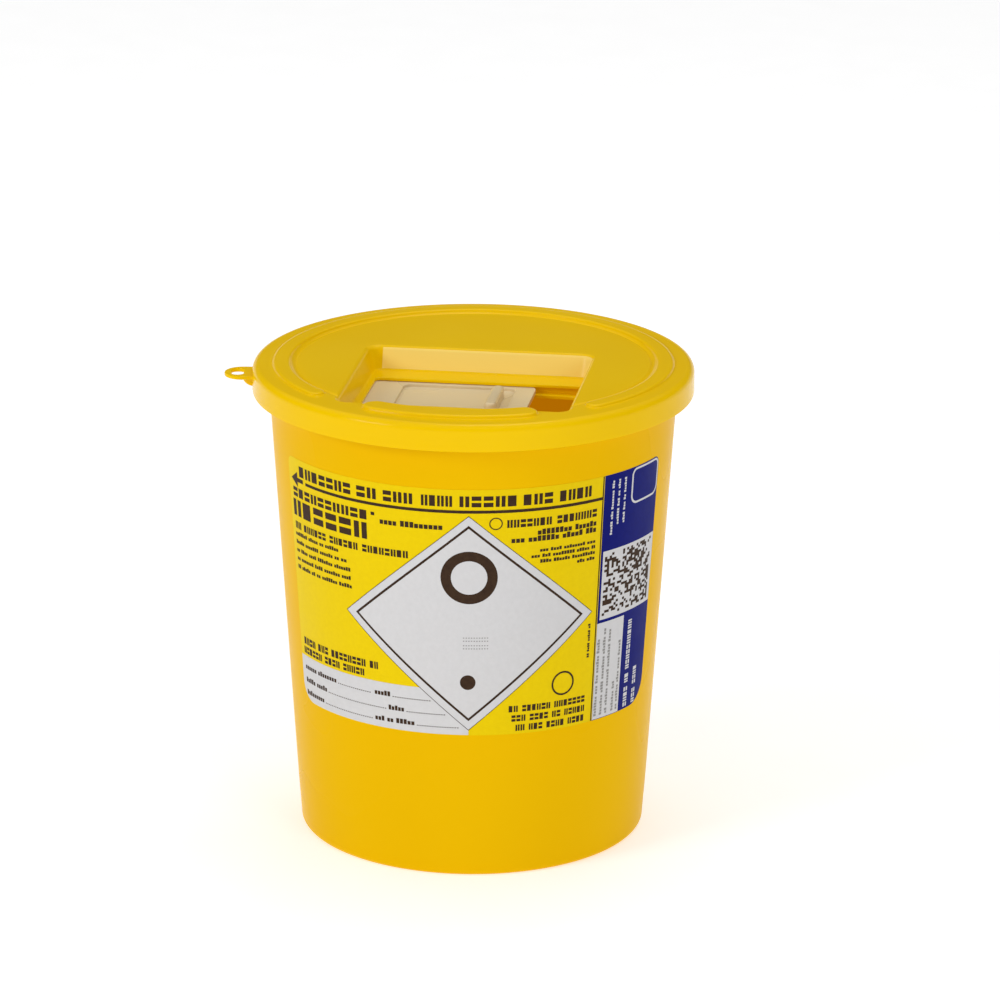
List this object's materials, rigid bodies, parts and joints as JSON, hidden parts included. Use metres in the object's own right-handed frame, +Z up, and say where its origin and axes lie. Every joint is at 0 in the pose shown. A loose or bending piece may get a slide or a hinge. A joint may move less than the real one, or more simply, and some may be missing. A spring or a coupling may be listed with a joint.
{
  "type": "sharps container",
  "caption": "Round yellow sharps container with a tapered tub, press-on lid, milky sliding door over the aperture and a wrap label.",
  "frame": {"origin": "centre of the tub's base, on the surface it stands on", "axes": "+Z up along the tub's axis; -Y towards the front of the lid's trough; +X the way the sliding door closes"},
  "size_m": [0.197, 0.1862, 0.2048],
  "materials": {
    "tub_plastic": "glossy moulded polypropylene",
    "lid_plastic": "glossy moulded polypropylene",
    "door_plastic": "milky natural polypropylene",
    "label_film": "printed satin film"
  },
  "bodies": {
    "tub_body": {"tub": "tub_plastic", "label": "label_film"},
    "lid_body": {"lid": "lid_plastic"},
    "door_body": {"sliding_door": "door_plastic"}
  },
  "joints": [
    {"name": "lid_lift", "type": "slide", "parent": "tub_body", "child": "lid_body", "axis": [0, 0, 1], "range_m": [0, 0.04]},
    {"name": "door_slide", "type": "slide", "parent": "lid_body", "child": "door_body", "axis": [1, 0, 0], "range_m": [-0.0205, 0.0205]}
  ]
}
